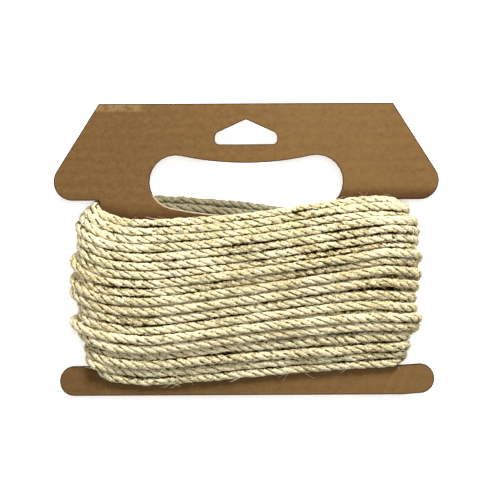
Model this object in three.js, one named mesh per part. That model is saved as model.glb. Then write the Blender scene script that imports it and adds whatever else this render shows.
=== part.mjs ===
// A length of sisal rope wound on a die-cut card winder, lying on its back.
// Millimetres. X runs along the turns, Y runs towards the hand hole and the hanging slot, and Z points up,
// out of the front of the card. The origin lies on the surface, under the middle of the card.

import * as THREE from 'three';

// Rope
const ROPE_DIAMETER = 4.8;
const ROPE_RADIUS = ROPE_DIAMETER / 2;

// Board of the card, and the clear gap that the rope keeps from it
const BOARD = 3.0;
const GAP = 0.3;

// Card outline
const TOP_Y = 80.5;
const BOTTOM_Y = -80.5;
const TOP_HALF_WIDTH = 80.6;
const WING_HALF_WIDTH = 105.8;
const WING_UNDERSIDE_Y = 27.4;
const WING_ROUND = 10.5;
const NECK_HALF_WIDTH = 80.5;
const NECK_ROUND = 1.5;
const BAR_TOP_Y = -64.2;
const BAR_HALF_WIDTH = 103.4;
const BAR_ROUND = 7.9;
const CORNER_ROUND = 0.5;
const ARC_STEPS = 6;

// The right end of the bar is bent a little towards the rope, at a crease
const CREASE_X = 86.0;
const CREASE_TILT = THREE.MathUtils.degToRad(4.5);

// Hand hole: a slot of one width along an arc, with round ends
const HAND_SLOT_RADIUS = 175.4;
const HAND_SLOT_LOWEST_Y = 33.2;
const HAND_SLOT_HALF_LENGTH = 38.6;
const HAND_SLOT_HALF_WIDTH = 14.55;

// Hanging slot: a flat triangle with short upright sides
const HANG_APEX_Y = 71.5;
const HANG_SHOULDER_Y = 63.9;
const HANG_FLOOR_Y = 58.0;
const HANG_HALF_WIDTH = 17.1;
const HANG_SHOULDER_ROUND = 3.5;
const HANG_FLOOR_ROUND = 2.5;

// Stations along the front of a turn, where its height is known
const STATIONS = [
  { name: 'left', x: -80.6 },
  { name: 'dip', x: -53.0 },
  { name: 'middle', x: 2.0 },
  { name: 'right', x: 57.0 },
  { name: 'edge', x: 84.0 },
];

// The turns on the front, from the top one to the bottom one. The first five columns are the height Y of the
// turn's centre at each station. The bulges are how far the turn stands out past the neck of the card.
const TURNS = [
  { left: 20.2, dip: 15.0, middle: 18.1, right: 26.2, edge: 26.4, bulgeLeft: 5.0, bulgeRight: 7.0 },
  { left: 14.4, dip: 10.5, middle: 14.5, right: 22.7, edge: 22.3, bulgeLeft: 11.0, bulgeRight: 9.0 },
  { left: 9.7, dip: 6.2, middle: 10.4, right: 18.4, edge: 19.4, bulgeLeft: 14.0, bulgeRight: 11.0 },
  { left: 4.7, dip: 1.7, middle: 6.0, right: 13.4, edge: 16.1, bulgeLeft: 13.0, bulgeRight: 13.0 },
  { left: -0.3, dip: -3.4, middle: 1.2, right: 8.7, edge: 11.8, bulgeLeft: 12.0, bulgeRight: 15.0 },
  { left: -5.4, dip: -8.4, middle: -3.3, right: 4.0, edge: 6.3, bulgeLeft: 12.0, bulgeRight: 14.5 },
  { left: -10.9, dip: -12.9, middle: -7.3, right: -0.3, edge: 1.9, bulgeLeft: 14.0, bulgeRight: 14.5 },
  { left: -15.0, dip: -17.0, middle: -11.3, right: -3.4, edge: -1.0, bulgeLeft: 15.5, bulgeRight: 15.5 },
  { left: -19.5, dip: -22.1, middle: -15.4, right: -7.5, edge: -5.1, bulgeLeft: 16.0, bulgeRight: 15.0 },
  { left: -25.2, dip: -27.3, middle: -20.5, right: -13.0, edge: -11.2, bulgeLeft: 17.0, bulgeRight: 16.5 },
  { left: -30.3, dip: -32.6, middle: -26.2, right: -18.9, edge: -18.3, bulgeLeft: 15.5, bulgeRight: 15.0 },
  { left: -35.4, dip: -38.6, middle: -31.1, right: -24.4, edge: -25.2, bulgeLeft: 13.0, bulgeRight: 13.5 },
  { left: -40.4, dip: -43.6, middle: -36.2, right: -30.7, edge: -31.3, bulgeLeft: 12.5, bulgeRight: 14.5 },
  { left: -45.8, dip: -48.5, middle: -41.9, right: -36.7, edge: -36.8, bulgeLeft: 14.5, bulgeRight: 17.0 },
  { left: -50.6, dip: -53.7, middle: -47.4, right: -42.2, edge: -42.1, bulgeLeft: 12.0, bulgeRight: 15.5 },
  { left: -54.7, dip: -58.0, middle: -52.7, right: -48.5, edge: -47.7, bulgeLeft: 11.0, bulgeRight: 10.5 },
  { left: -59.1, dip: -62.4, middle: -58.1, right: -54.5, edge: -53.2, bulgeLeft: 9.5, bulgeRight: 10.0 },
  { left: -63.3, dip: -67.3, middle: -63.3, right: -59.5, edge: -58.5, bulgeLeft: 7.0, bulgeRight: 7.5 },
  { left: -67.1, dip: -71.6, middle: -67.5, right: -63.0, edge: -62.1, bulgeLeft: 5.0, bulgeRight: 5.0 },
];

// Shape of the wound body
const SEAT = BOARD / 2 + GAP;   // from the middle of the board to the rope that lies on it
const FACE_SHARE = 0.85;        // growth of the depth on a face, for each millimetre of bulge at the edge
const CROWN = 0.1;              // share of that depth which is lost between the middle and the end of a face
const FACE_COLUMNS = 16;        // steps across a face
const ARC_COLUMNS = 8;          // steps around an edge
const ARC_LENGTH = 36;          // way of a turn around an edge
const LOOP_LENGTH = 2 * (2 * NECK_HALF_WIDTH + ARC_LENGTH);
const BACK_BULGE = 14.6;        // the back is pressed more level than the front
const BACK_POWER = 6;
const REST_DEPTH = 14.2;        // from the middle of the board to the surface that the back is pressed on
const VALLEY_DEPTH = 1.7;       // how deep the surface dips between two turns
const SHOULDER_DROP = 0.35;     // how far a turn has fallen away at its shoulder
const SHOULDER_SHARE = 0.27;    // place of the shoulder, as a share of the way to the next turn

const CARD_MIDDLE_Z = REST_DEPTH;

const materials = {
  card: new THREE.MeshStandardMaterial({ color: 0x8c6a42, roughness: 0.9, metalness: 0 }),
  rope: new THREE.MeshStandardMaterial({ color: 0xe2d9ab, roughness: 0.95, metalness: 0 }),
};

// Adds a closed outline to a path. Each corner is rounded with an arc of its own radius.
function addRoundedOutline(path, corners) {
  corners.forEach((corner, index) => {
    const here = new THREE.Vector2(corner.x, corner.y);
    const previous = corners[(index + corners.length - 1) % corners.length];
    const next = corners[(index + 1) % corners.length];
    const toPrevious = new THREE.Vector2(previous.x, previous.y).sub(here).normalize();
    const toNext = new THREE.Vector2(next.x, next.y).sub(here).normalize();
    const halfAngle = Math.acos(toPrevious.dot(toNext)) / 2;
    const start = here.clone().addScaledVector(toPrevious, corner.round / Math.tan(halfAngle));
    const end = here.clone().addScaledVector(toNext, corner.round / Math.tan(halfAngle));
    if (index === 0) {
      path.moveTo(start.x, start.y);
    } else {
      path.lineTo(start.x, start.y);
    }
    if (corner.round > 0) {
      const bisector = toPrevious.clone().add(toNext).normalize();
      const centre = here.clone().addScaledVector(bisector, corner.round / Math.sin(halfAngle));
      const startAngle = Math.atan2(start.y - centre.y, start.x - centre.x);
      const endAngle = Math.atan2(end.y - centre.y, end.x - centre.x);
      path.absarc(centre.x, centre.y, corner.round, startAngle, endAngle, toPrevious.cross(toNext) > 0);
    }
  });
  path.closePath();
  return path;
}

// The sloping side of a wing touches the arc at its tip. This is where that side would meet the underside.
function wingCorner() {
  const top = new THREE.Vector2(TOP_HALF_WIDTH, TOP_Y);
  const centre = new THREE.Vector2(WING_HALF_WIDTH - WING_ROUND, WING_UNDERSIDE_Y + WING_ROUND);
  const toCentre = centre.clone().sub(top);
  const slope = toCentre.angle() + Math.asin(WING_ROUND / toCentre.length());
  const x = top.x + (WING_UNDERSIDE_Y - top.y) / Math.tan(slope);
  return { x, y: WING_UNDERSIDE_Y, round: WING_ROUND };
}

// A corner of the bent end of the bar, turned about the middle of the crease
function bentCorner(x, y, round) {
  const pivot = new THREE.Vector2(CREASE_X, (BAR_TOP_Y + BOTTOM_Y) / 2);
  const turned = new THREE.Vector2(x, y).rotateAround(pivot, CREASE_TILT);
  return { x: turned.x, y: turned.y, round };
}

function handHole() {
  const centreY = HAND_SLOT_LOWEST_Y + HAND_SLOT_RADIUS;
  const spread = Math.asin(HAND_SLOT_HALF_LENGTH / HAND_SLOT_RADIUS);
  const endY = centreY - HAND_SLOT_RADIUS * Math.cos(spread);
  const left = -Math.PI / 2 - spread;
  const right = -Math.PI / 2 + spread;
  const hole = new THREE.Path();
  hole.absarc(0, centreY, HAND_SLOT_RADIUS + HAND_SLOT_HALF_WIDTH, left, right, false);
  hole.absarc(HAND_SLOT_HALF_LENGTH, endY, HAND_SLOT_HALF_WIDTH, right, right + Math.PI, false);
  hole.absarc(0, centreY, HAND_SLOT_RADIUS - HAND_SLOT_HALF_WIDTH, right, left, true);
  hole.absarc(-HAND_SLOT_HALF_LENGTH, endY, HAND_SLOT_HALF_WIDTH, left + Math.PI, left + 2 * Math.PI, false);
  hole.closePath();
  return hole;
}

function hangingSlot() {
  return addRoundedOutline(new THREE.Path(), [
    { x: 0, y: HANG_APEX_Y, round: CORNER_ROUND },
    { x: -HANG_HALF_WIDTH, y: HANG_SHOULDER_Y, round: HANG_SHOULDER_ROUND },
    { x: -HANG_HALF_WIDTH, y: HANG_FLOOR_Y, round: HANG_FLOOR_ROUND },
    { x: HANG_HALF_WIDTH, y: HANG_FLOOR_Y, round: HANG_FLOOR_ROUND },
    { x: HANG_HALF_WIDTH, y: HANG_SHOULDER_Y, round: HANG_SHOULDER_ROUND },
  ]);
}

function card() {
  const wing = wingCorner();
  const outline = addRoundedOutline(new THREE.Shape(), [
    { x: -TOP_HALF_WIDTH, y: TOP_Y, round: CORNER_ROUND },
    { x: -wing.x, y: wing.y, round: wing.round },
    { x: -NECK_HALF_WIDTH, y: WING_UNDERSIDE_Y, round: NECK_ROUND },
    { x: -NECK_HALF_WIDTH, y: BAR_TOP_Y, round: NECK_ROUND },
    { x: -BAR_HALF_WIDTH, y: BAR_TOP_Y, round: BAR_ROUND },
    { x: -BAR_HALF_WIDTH, y: BOTTOM_Y, round: BAR_ROUND },
    { x: CREASE_X, y: BOTTOM_Y, round: 0 },
    bentCorner(BAR_HALF_WIDTH, BOTTOM_Y, BAR_ROUND),
    bentCorner(BAR_HALF_WIDTH, BAR_TOP_Y, BAR_ROUND),
    { x: CREASE_X, y: BAR_TOP_Y, round: 0 },
    { x: NECK_HALF_WIDTH, y: BAR_TOP_Y, round: NECK_ROUND },
    { x: NECK_HALF_WIDTH, y: WING_UNDERSIDE_Y, round: NECK_ROUND },
    { x: wing.x, y: wing.y, round: wing.round },
    { x: TOP_HALF_WIDTH, y: TOP_Y, round: CORNER_ROUND },
  ]);
  outline.holes.push(handHole(), hangingSlot());
  const geometry = new THREE.ExtrudeGeometry(outline, {
    depth: BOARD,
    bevelEnabled: false,
    curveSegments: ARC_STEPS,
  });
  const mesh = new THREE.Mesh(geometry, materials.card);
  mesh.name = 'card';
  mesh.position.z = CARD_MIDDLE_Z - BOARD / 2;
  return mesh;
}

// The columns of the surface, on their way along a turn: 0 in the middle of the front, NECK_HALF_WIDTH at the
// right edge of the neck, around that edge by ARC_LENGTH, and back behind the card. On a face, out is 0 and up
// is 1 or -1. Around an edge, out and up are the sine and cosine of the angle, and side is 1 right or -1 left.
// Level is the height on the side of the neck itself, from 1 at its front to -1 at its back.
function columnPlaces() {
  const places = [];
  for (const face of [1, -1]) {
    const start = face > 0 ? -NECK_HALF_WIDTH : NECK_HALF_WIDTH + ARC_LENGTH;
    for (let step = 0; step < FACE_COLUMNS; step += 1) {
      const along = (2 * NECK_HALF_WIDTH * step) / FACE_COLUMNS;
      places.push({
        way: start + along,
        x: face * (along - NECK_HALF_WIDTH),
        side: face,
        out: 0,
        up: face,
        level: face,
      });
    }
    for (let step = 0; step < ARC_COLUMNS; step += 1) {
      const share = step / ARC_COLUMNS;
      places.push({
        way: start + 2 * NECK_HALF_WIDTH + share * ARC_LENGTH,
        x: face * NECK_HALF_WIDTH,
        side: face,
        out: Math.sin(share * Math.PI),
        up: face * Math.cos(share * Math.PI),
        level: face * (1 - 2 * share),
      });
    }
  }
  return places;
}

const PLACES = columnPlaces();

function stationWay(turn, station) {
  const past = Math.abs(station.x) - NECK_HALF_WIDTH;
  if (past <= 0) {
    return station.x;
  }
  const bulge = station.x < 0 ? turn.bulgeLeft : turn.bulgeRight;
  return Math.sign(station.x) * (NECK_HALF_WIDTH + (ARC_LENGTH * Math.asin(past / bulge)) / Math.PI);
}

// The heights along a turn. Its back runs as its front does, seen from its own side,
// and lies half a turn higher, between this turn and the one above it.
function turnHeights(turn, above) {
  const front = STATIONS.map((station) => ({
    way: stationWay(turn, station),
    y: turn[station.name],
  }));
  const back = STATIONS.map((station) => ({
    way: stationWay(turn, station) + LOOP_LENGTH / 2,
    y: (turn[station.name] + above[station.name]) / 2,
  }));
  return [...front, ...back];
}

// A smooth closed curve through the heights, in cubic pieces
function heightAt(heights, way) {
  const count = heights.length;
  const knot = (index) => {
    const laps = Math.floor(index / count);
    const base = heights[index - laps * count];
    return { way: base.way + laps * LOOP_LENGTH, y: base.y };
  };
  const reached = way < heights[0].way ? way + LOOP_LENGTH : way;
  let index = 0;
  while (knot(index + 1).way <= reached) {
    index += 1;
  }
  const [before, start, end, after] = [index - 1, index, index + 1, index + 2].map(knot);
  const span = end.way - start.way;
  const share = (reached - start.way) / span;
  const rise = end.y - start.y;
  const startSlope = ((end.y - before.y) / (end.way - before.way)) * span;
  const endSlope = ((after.y - start.y) / (after.way - start.way)) * span;
  const bend = 3 * rise - 2 * startSlope - endSlope;
  const twist = startSlope + endSlope - 2 * rise;
  return start.y + share * (startSlope + share * (bend + share * twist));
}

// The turn with this number, which may lie between two turns of the table or a little past its ends
function turnAt(number) {
  const lower = THREE.MathUtils.clamp(Math.floor(number), 0, TURNS.length - 2);
  const turn = {};
  for (const key of Object.keys(TURNS[lower])) {
    turn[key] = THREE.MathUtils.lerp(TURNS[lower][key], TURNS[lower + 1][key], number - lower);
  }
  return turn;
}

// One ring of the surface along the turn with this number, sunk towards the card, and moved up or down
function surfaceRing(number, sink, lift = 0) {
  const turn = turnAt(number);
  const heights = turnHeights(turn, turnAt(number - 1));
  const frontBulge = (turn.bulgeLeft + turn.bulgeRight) / 2;
  const fromMiddle = Math.min(1, Math.abs((2 * number) / (TURNS.length - 1) - 1));
  const backBulge = THREE.MathUtils.lerp(BACK_BULGE, frontBulge, fromMiddle ** BACK_POWER);
  return PLACES.map(({ way, x, side, out, up }) => {
    const edgeBulge = side > 0 ? turn.bulgeRight : turn.bulgeLeft;
    const faceBulge = up > 0 ? frontBulge : backBulge;
    const depth = ROPE_DIAMETER + FACE_SHARE * (faceBulge - ROPE_DIAMETER);
    const crowned = depth * (1 - CROWN * (x / NECK_HALF_WIDTH) ** 2);
    return new THREE.Vector3(
      x + side * out * (edgeBulge - sink),
      heightAt(heights, way) + lift,
      Math.max(up * (SEAT + crowned - sink), -REST_DEPTH),
    );
  });
}

// The ring where the rope meets the neck, at the height of an outer ring
function neckRing(outer) {
  return PLACES.map(({ x, side, out, level }, column) => new THREE.Vector3(
    out > 0 ? side * (NECK_HALF_WIDTH + GAP) : x * (1 + GAP / NECK_HALF_WIDTH),
    outer[column].y,
    SEAT * level,
  ));
}

// All rings, from the neck at the top, down the outside, and back to the neck at the bottom
function windingRings() {
  const last = TURNS.length - 1;
  const outside = [];
  for (let number = 0; number <= last; number += 1) {
    outside.push(surfaceRing(number - SHOULDER_SHARE, SHOULDER_DROP));
    outside.push(surfaceRing(number, 0));
    outside.push(surfaceRing(number + SHOULDER_SHARE, SHOULDER_DROP));
    if (number < last) {
      outside.push(surfaceRing(number + 0.5, VALLEY_DEPTH));
    }
  }
  const topRim = surfaceRing(0, ROPE_RADIUS, ROPE_RADIUS);
  const bottomRim = surfaceRing(last, ROPE_RADIUS, -ROPE_RADIUS);
  const topSeat = neckRing(surfaceRing(0, 0));
  const bottomSeat = neckRing(surfaceRing(last, 0));
  return [topSeat, topRim, ...outside, bottomRim, bottomSeat];
}

// Around the edges of the neck the rope fits between the wings and the bar, so the rings close up there
function fitBesideNeck(rings) {
  PLACES.forEach(({ out }, column) => {
    if (out === 0) {
      return;
    }
    const heights = rings.map((ring) => ring[column].y);
    const top = Math.max(...heights);
    const bottom = Math.min(...heights);
    const fittedTop = Math.min(top, WING_UNDERSIDE_Y - GAP);
    const fittedBottom = Math.max(bottom, BAR_TOP_Y + GAP);
    for (const ring of rings) {
      ring[column].y = THREE.MathUtils.mapLinear(ring[column].y, bottom, top, fittedBottom, fittedTop);
    }
  });
}

// The rings joined into one closed surface that goes around the neck
function ropeWinding() {
  const rings = windingRings();
  const columns = PLACES.length;
  fitBesideNeck(rings);
  const positions = rings.flat().flatMap((point) => point.toArray());
  const triangles = [];
  rings.forEach((ring, row) => {
    const nextRow = (row + 1) % rings.length;
    for (let column = 0; column < columns; column += 1) {
      const nextColumn = (column + 1) % columns;
      const here = row * columns + column;
      const beside = row * columns + nextColumn;
      const below = nextRow * columns + column;
      const belowBeside = nextRow * columns + nextColumn;
      triangles.push(here, below, beside, beside, below, belowBeside);
    }
  });
  const geometry = new THREE.BufferGeometry();
  geometry.setAttribute('position', new THREE.Float32BufferAttribute(positions, 3));
  geometry.setIndex(triangles);
  geometry.computeVertexNormals();
  const mesh = new THREE.Mesh(geometry, materials.rope);
  mesh.name = 'rope_winding';
  mesh.position.z = CARD_MIDDLE_Z;
  return mesh;
}

const coil = new THREE.Group();
coil.add(card(), ropeWinding());

export default coil;
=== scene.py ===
"""Looks of a length of sisal rope wound in three layers on a winder of corrugated board.

The tables and the winding are worked out in millimetres, and every mesh is made in metres.
"""

import functools
import math

import bmesh
import bpy
import numpy as np
from mathutils import Matrix, Vector


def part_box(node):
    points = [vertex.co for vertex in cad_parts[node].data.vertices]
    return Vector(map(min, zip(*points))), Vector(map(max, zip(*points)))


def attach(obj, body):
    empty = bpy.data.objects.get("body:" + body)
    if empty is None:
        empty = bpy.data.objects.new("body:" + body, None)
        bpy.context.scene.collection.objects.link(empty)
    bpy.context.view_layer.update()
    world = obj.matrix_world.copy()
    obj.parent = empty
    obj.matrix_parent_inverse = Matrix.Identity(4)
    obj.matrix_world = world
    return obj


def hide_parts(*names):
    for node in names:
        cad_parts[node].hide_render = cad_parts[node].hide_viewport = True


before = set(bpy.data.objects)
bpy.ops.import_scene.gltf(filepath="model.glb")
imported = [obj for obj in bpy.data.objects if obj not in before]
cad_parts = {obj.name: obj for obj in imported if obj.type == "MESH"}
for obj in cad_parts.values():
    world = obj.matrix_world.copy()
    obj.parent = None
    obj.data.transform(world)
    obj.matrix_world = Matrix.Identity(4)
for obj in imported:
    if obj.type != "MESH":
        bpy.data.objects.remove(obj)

bl_info = {
    "name": "Sisal rope on a card winder",
    "version": (1, 0, 0),
    "blender": (4, 5, 0),
    "location": "View3D > Sidebar > Rope",
    "description": "Models the corrugated winder, the wound rope, its loose fibres and a plain studio",
    "category": "Object",
}

MM = 0.001
BODY = "root"

# Points nearer to each other than this are taken as one
CLOSE = 0.01 * MM

# Sizes that come from the solids. The board's thickness and the height of its middle are in millimetres.
CARD_LOW, CARD_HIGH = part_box("card")
BOARD = (CARD_HIGH.z - CARD_LOW.z) / MM
CARD_MIDDLE_Z = (CARD_HIGH.z + CARD_LOW.z) / 2 / MM
CARD_LENGTH = CARD_HIGH.x - CARD_LOW.x
CARD_HEIGHT = CARD_HIGH.y - CARD_LOW.y

# Half the width of the card's neck, the edges above and below it, and the room between rope and board
NECK = 80.5
WING_UNDERSIDE_Y = 27.4
BAR_TOP_Y = -64.2
ROPE_TO_BOARD = 0.1

# Stations along the front of a turn, where its height is known
STATION_X = np.array([-80.6, -70.0, -53.0, 2.0, 57.0, 84.0])

# The turns on the front, from the top one to the bottom one. The first six columns are the height of the
# turn's centre at each station: left, bend, dip, middle, right, edge. The last two are how far the turn
# stands out past the neck at the left and at the right.
TURNS = np.array([
    (20.9, 16.3, 15.0, 18.1, 26.2, 26.4, 5.0, 7.0),
    (15.4, 11.4, 10.5, 14.5, 22.7, 22.3, 8.0, 9.0),
    (10.0, 6.6, 6.2, 10.4, 18.4, 19.4, 12.0, 11.0),
    (5.0, 2.2, 1.7, 6.0, 13.4, 16.1, 13.0, 13.0),
    (-0.3, -2.2, -3.4, 1.2, 8.7, 11.8, 12.0, 15.0),
    (-5.4, -7.3, -8.4, -3.3, 4.0, 6.3, 12.0, 14.5),
    (-10.9, -12.1, -12.9, -7.3, -0.3, 1.9, 14.0, 14.5),
    (-15.0, -16.2, -17.0, -11.3, -3.4, -1.0, 15.5, 15.5),
    (-19.5, -21.1, -22.1, -15.4, -7.5, -5.1, 15.0, 15.0),
    (-25.2, -26.5, -27.3, -20.5, -13.0, -11.2, 17.5, 16.5),
    (-30.3, -31.7, -32.6, -26.2, -18.9, -18.3, 17.5, 15.0),
    (-35.4, -37.4, -38.6, -31.1, -24.4, -25.2, 13.0, 13.5),
    (-40.4, -42.4, -43.6, -36.2, -30.7, -31.3, 12.5, 14.5),
    (-45.8, -47.5, -48.5, -41.9, -36.7, -36.8, 17.5, 17.0),
    (-50.6, -52.5, -53.7, -47.4, -42.2, -42.1, 13.0, 15.5),
    (-54.7, -56.7, -58.0, -52.7, -48.5, -47.7, 9.8, 8.0),
    (-59.1, -61.1, -62.4, -58.1, -54.5, -53.2, 7.5, 9.5),
    (-63.3, -65.8, -67.3, -63.3, -59.5, -58.5, 5.5, 6.0),
    (-67.1, -69.9, -71.6, -67.5, -63.0, -62.1, 4.0, 4.0),
])
STATIONS = len(STATION_X)
LEFT_BULGE = STATIONS
RIGHT_BULGE = STATIONS + 1
LAST_ROW = len(TURNS) - 1

# Layers of the winding, from the card outwards: first row, step from turn to turn, number of turns, and the
# row that the last turn leads to
LAYERS = (
    {"first": 2.0, "step": 1.0, "turns": 15, "leads_to": 13.5},
    {"first": 13.5, "step": -1.0, "turns": 11, "leads_to": 0.0},
    {"first": 0.0, "step": 1.0, "turns": 19, "leads_to": 16.4},
)
OUTER = len(LAYERS) - 1

# Height of the upper pass that shows through the hand hole, from left to right. The other pass lies lower and
# against the card.
HIGH_PASS_X = (-90.0, -80.0, -52.0, -25.6, 2.0, 21.0, 53.0, 80.0)
HIGH_PASS_Y = (22.0, 25.0, 27.3, 26.0, 22.6, 19.7, 14.5, 14.0)
PASS_DROP = 2.9
PASS_RISE = 3.8

# Where the passes part from the other turns on the right edge and join them again on the left edge, as shares
# of the way around the edge, and the lengths in which they do so
PARTING_SHARE = 0.6
JOINING_SHARE = 1.4
PARTING_LENGTH = 50.0
JOINING_LENGTH = 30.0

# Way of a turn: the front face, around the right edge, the back face and around the left edge
EDGE_WAY = 36.0
LOOP_WAY = 2 * (2 * NECK + EDGE_WAY)
SAMPLES = 120
TAIL_ON_BACK = 70.0

# Depth of the winding on the faces, as on the solid
FACE_SHARE = 0.85
CROWN = 0.1
BACK_BULGE = 14.6
BACK_POWER = 6

# Settling of the turns on each other. A hold is the share of the way back to its wanted place that a turn
# takes in each round.
WINDING_SEED = 7
SETTLING_ROUNDS = 300
LAST_ROUNDS = 12
CONTACTS_A_ROUND = 2
CONTACT_SHARE = 0.45
STIFFNESS = 0.06
LAYER_RISE = 0.88
OUTER_HOLD = 0.3
OUTER_DEPTH_HOLD = 0.08
INNER_HOLD = 0.01
OUTER_WEIGHT = 2.0
FLOOR_ROOM = 0.45
WANDER_LENGTH = 45.0
OUTER_WANDER = 0.2
INNER_WANDER = 0.75
LEAST_DOWN = 0.001
LEAST_DISTANCE = 1e-9

# How much higher the turns lie at the tips of the left and the right bulge, in full from this row down
EDGE_LIFT = (1.2, 2.4)
LIFTED_ROW = 3

# The outer turns grow up to this many times thicker where there is room, and less so in depth than across
FULLEST = 1.3
FULLNESS_ROUNDS = 6
DEPTH_FULLNESS = 0.4

# Section of the rope: places of the ring's points on one strand, as shares of the way between two grooves,
# the distance from ring to ring, how far a strand's flank lies under its crest, and how far turns press into
# each other
FINE_PLACES = (0.0, 0.07, 0.17, 0.36, 0.64, 0.83, 0.93)
PLAIN_PLACES = (0.0, 0.15, 0.5, 0.85)
FINE_STEP = 0.9 * MM
PLAIN_STEP = 1.9 * MM
STRAND_CROWN = 0.45
PRESSED = 0.15
STRANDS = 3
OUTER_PIECES = 3

# Unevenness of the rope: knots along the longest rope, in metres, and how much the value differs from knot to
# knot. The lay is out by some radians, and each strand swells by a share of its radius.
ROPE_SEED = 11
LONGEST_ROPE = 30
UNEVEN_LAY = ((4000, 0.3), (400, 0.8))
UNEVEN_STRAND = (6000, 0.06)
LUMPS = 0.06

# Painted shade between the turns: how near to another turn a point is darkest, and how far off it is free of
# shade
TOUCHING = 0.05
CLEAR = 1.15
FAR_AWAY = 1000.0
POINTS_AT_A_TIME = 2000

# Painted shade on the passes behind the hand hole: above this height they get this share of the light
HAND_HOLE_LOW = 10.0
BEHIND_DAYLIGHT = 0.22

# Loose fibres: length in millimetres, how steeply they leave the rope, and how much they curl
HAIRS = {"length": (2.0, 7.5), "lift": (0.25, 0.9), "curl": 0.5}
LYING_FIBRES = {"length": (3.0, 9.0), "lift": (0.02, 0.16), "curl": 0.25}
FIBRE_SEED = 23
FIBRE_STEPS = 6
FIBRE_SIDES = 3
FIBRE_THICKNESS = (0.06, 0.12)
FIBRE_TAPER = 0.6
FIBRE_ROOT = 0.93
FIBRE_AROUND = 0.75
FIBRE_LEAN = 0.35
FIBRE_END_LIFT = 0.35
FIBRE_BEND = 0.4
FIBRE_FLOOR = 0.3 * MM
FIBRE_CEILING = 35 * MM

# A tint of painted shade passes through this power of its darkest colour, at this share of its way
HALF_TONE = 0.33
HALF_TONE_AT = 0.45

# Patterns of the rope, as settings of the noise. The first four follow the rope, and the others lie over
# the whole coil.
STREAKS = {"scale": 2100, "stretch": (1, 1, 0.16), "detail": 2.0, "roughness": 0.7}
TUFTS = {"scale": 1300, "stretch": (1, 1, 0.7), "detail": 2.0, "roughness": 0.6}
BREAKS = {"scale": 520, "stretch": (1, 1, 0.7), "detail": 2.0}
GREEN_PATCHES = {"scale": 130, "stretch": (1, 1, 0.4), "detail": 1.0}
PALE_PATCHES = {"scale": 45}
PRESSED_GAPS = {"scale": 60, "stretch": (0.45, 2.4, 1), "detail": 1.0}
LOOSE_FIBRE_TONES = {"scale": 400}

# How those patterns are read: low and high in the noise, and what they become
STREAK_SHARE = 0.45
TUFT_SHARE = 0.55
FIBRE_RANGE = (0.41, 0.54)
PALE_RANGE = (0.3, 0.7, -0.05, 0.05)
GREEN_RANGE = (0.58, 0.74, 0.0, 0.6)
CREST_BREAKS_RANGE = (0.38, 0.62, -0.2, 0.65)
GROOVE_RANGE = (0.0, 0.8)
GAP_BREAKS_RANGE = (0.3, 0.7, -0.45, 0.45)
PRESSED_GAPS_RANGE = (0.38, 0.62, -0.5, 0.5)
GAP_STEEPNESS = 2.2
GAP_SHIFT = -0.65

# Patterns of the board, and how they are read
GRAIN = {"scale": 1500, "stretch": (0.8, 1, 1), "detail": 4.0, "roughness": 0.65}
MOTTLE = {"scale": 430, "stretch": (0.8, 1, 1), "roughness": 0.6}
CLOUDS = {"scale": 17, "detail": 1.0}
WOBBLE = {"scale": 120}
GRAIN_SHARE = 0.55
MOTTLE_SHARE = 0.55
CLOUD_SHARE = 0.2
FLUTE_SHARE = 0.025
FLUTING_SHARE = 0.5
KRAFT_RANGE = (0.44, 0.86)
# Painted light: the board gets lighter from left to right
PAINTED_LIGHT_TO_RIGHT = (-100.0, 100.0, -0.06, 0.1)
SCUFF_RANGE = (0.35, 0.6, 0.15, 0.5)
WOBBLE_RANGE = (0.3, 0.7, -0.8, 0.8)
RIM_RANGE = (0.1, 0.5, 0.0, 0.9)
CUT_RANGE = (0.3, 0.7)

# Areas of the board in millimetres, each with its low end, high end and softness: the worn strip at the top
# left and the cut along the lower edge of the hand hole, which gets a painted highlight
WORN_STRIP = {"x": (-90.0, -57.0, 5.0), "y": (76.2, 90.0, 0.7)}
LIT_CUT = {"x": (-52.0, 8.0, 2.0), "y": (15.0, 31.0, 1.0)}

# Creases across the bar: place at the bar's middle, lean, half the width and strength, all below the neck
CREASES = ((-78.5, -0.16, 0.15, 0.4), (79.0, 0.5, 0.9, 0.09), (86.0, 0.5, 0.9, 0.07))
CREASE_SOFTNESS = 0.3
BAR_MIDDLE_Y = -73
CREASES_FADE_Y = (-68.0, -64.0)

# Painted shade on the board by its height above the first turn's edge, in millimetres: a wide shade, a near
# one, and the far side of the rope, where the shade ends
WIDE_SHADE = (0.0, 8.0, 0.45, 1.0)
NEAR_SHADE = (-1.0, 1.5, 0.15, 1.0)
BEYOND_ROPE = (-12.0, -8.0, 1.0, 0.0)

# The fluting sheet: points to a wave, and how much larger than the card it is before it is trimmed
STEPS_A_FLUTE = 14
BEFORE_TRIMMING = 1.02

# Lamps, with size and place in metres, and the point on the card that the camera looks at
KEY_LAMP = {"size": 0.7, "place": (0.05, 0.2, 1.5)}
TOP_LAMP = {"size": 0.3, "place": (0.1, 0.52, 0.5)}
LOOK_AT = (1.9, -0.1)
SENSOR = 36.0


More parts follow.
